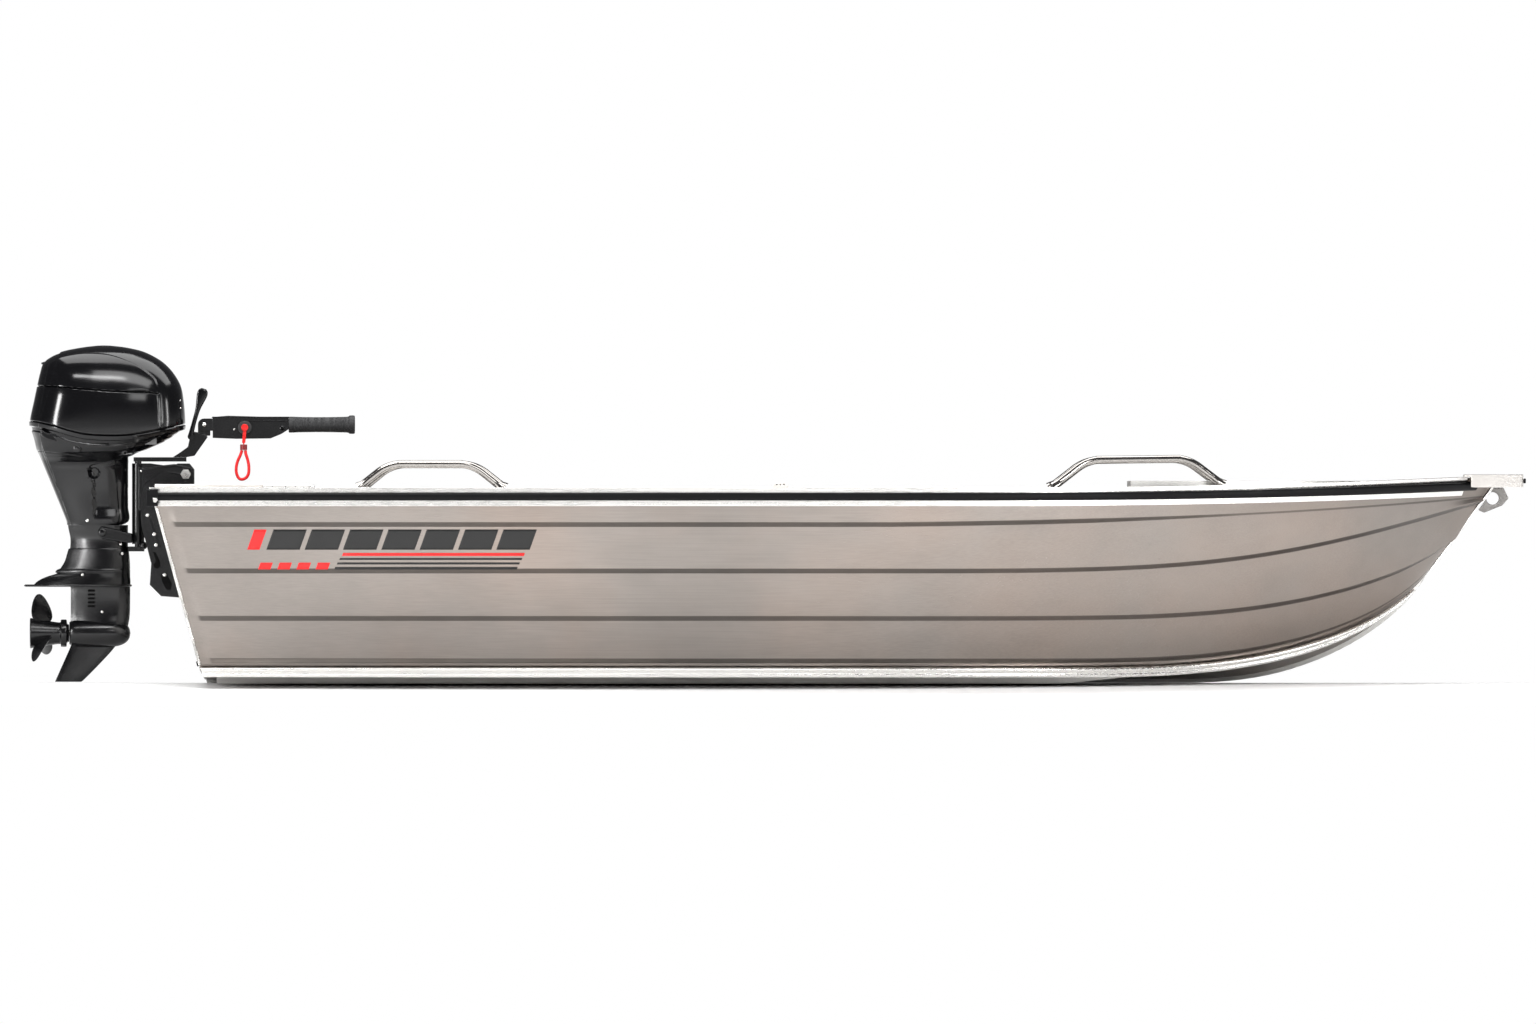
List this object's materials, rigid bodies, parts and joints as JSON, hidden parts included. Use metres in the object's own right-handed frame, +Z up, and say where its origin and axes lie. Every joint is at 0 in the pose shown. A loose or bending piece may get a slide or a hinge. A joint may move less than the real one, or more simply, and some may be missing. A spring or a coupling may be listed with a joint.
{
  "type": "aluminium dinghy with tiller outboard motor",
  "caption": "Open pressed-aluminium rowing dinghy with grab rails, rowlock sockets and a tiller-steered outboard motor clamped on its transom.",
  "frame": {"origin": "on the ground under the middle of the whole boat with its motor", "axes": "+X to the bow, +Y to port, +Z up"},
  "size_m": [4.881, 1.7798, 1.097],
  "materials": {
    "hull_plate": "brushed bare marine alloy plate",
    "inner_plate": "bare alloy plate",
    "bright_extrusion": "bright extruded alloy",
    "cast_alloy": "sand-cast alloy",
    "polished_tube": "polished tube",
    "black_rubber": "moulded black rubber",
    "pad_board": "faced board",
    "black_casting": "black painted casting",
    "gloss_black": "gloss black moulding",
    "steel": "stainless steel",
    "engine": "hidden engine block",
    "switch_black": "moulded plastic",
    "signal_red": "red plastic and webbing"
  },
  "bodies": {
    "root": {"side_plate_port": "hull_plate", "side_plate_starboard": "hull_plate", "bottom_plate": "hull_plate", "transom_plate": "hull_plate", "aft_thwart": "inner_plate", "mid_thwart": "inner_plate", "bottom_ribs": "inner_plate", "fore_bulkhead": "inner_plate", "transom_knees": "inner_plate", "side_boxes": "inner_plate", "fore_deck": "inner_plate", "chine_extrusions": "bright_extrusion", "keel_bar": "bright_extrusion", "bottom_runners": "bright_extrusion", "gunwale_port": "bright_extrusion", "gunwale_starboard": "bright_extrusion", "transom_cap": "bright_extrusion", "stem_bar": "bright_extrusion", "bow_cap": "cast_alloy", "quarter_plates": "cast_alloy", "towing_eye": "cast_alloy", "rowlock_blocks": "cast_alloy", "grab_rails_aft": "polished_tube", "grab_rails_fore": "polished_tube", "rub_rail_port": "black_rubber", "rub_rail_starboard": "black_rubber", "gunwale_end_caps": "black_rubber", "bow_buffer": "black_rubber", "drain_plug": "black_rubber", "transom_pads": "pad_board", "clamp_brackets": "black_casting", "tilt_tube": "steel", "clamp_screws": "steel"},
    "swivel": {"swivel_bracket": "black_casting"},
    "motor": {"steering_bracket": "black_casting", "tiller_bracket": "black_casting", "shift_lever": "black_casting", "motor_hood": "gloss_black", "lower_cowl": "gloss_black", "powerhead": "engine", "motor_neck": "black_casting", "gearcase": "black_casting", "propeller_shaft": "steel"},
    "tiller": {"tiller_arm": "black_casting", "tiller_grip": "black_rubber", "stop_switch": "switch_black", "stop_button": "signal_red", "lanyard_clip": "signal_red", "lanyard_crimp": "switch_black", "lanyard": "signal_red"},
    "propeller": {"propeller": "black_casting"}
  },
  "joints": [
    {"name": "tilt", "type": "hinge", "parent": "root", "child": "swivel", "pos_m": [-1.9145, 0, 0.679], "axis": [0, 1, 0], "range_deg": [0, 65]},
    {"name": "steer", "type": "hinge", "parent": "swivel", "child": "motor", "pos_m": [-2.0705, 0, 0.583], "axis": [0, 0, 1], "range_deg": [-45, 45]},
    {"name": "tiller_fold", "type": "hinge", "parent": "motor", "child": "tiller", "pos_m": [-1.8559, 0, 0.84], "axis": [0, -1, 0], "range_deg": [0, 90]},
    {"name": "propeller_spin", "type": "hinge", "parent": "motor", "child": "propeller", "pos_m": [-2.3575, 0, 0.162], "axis": [1, 0, 0], "continuous": true}
  ]
}
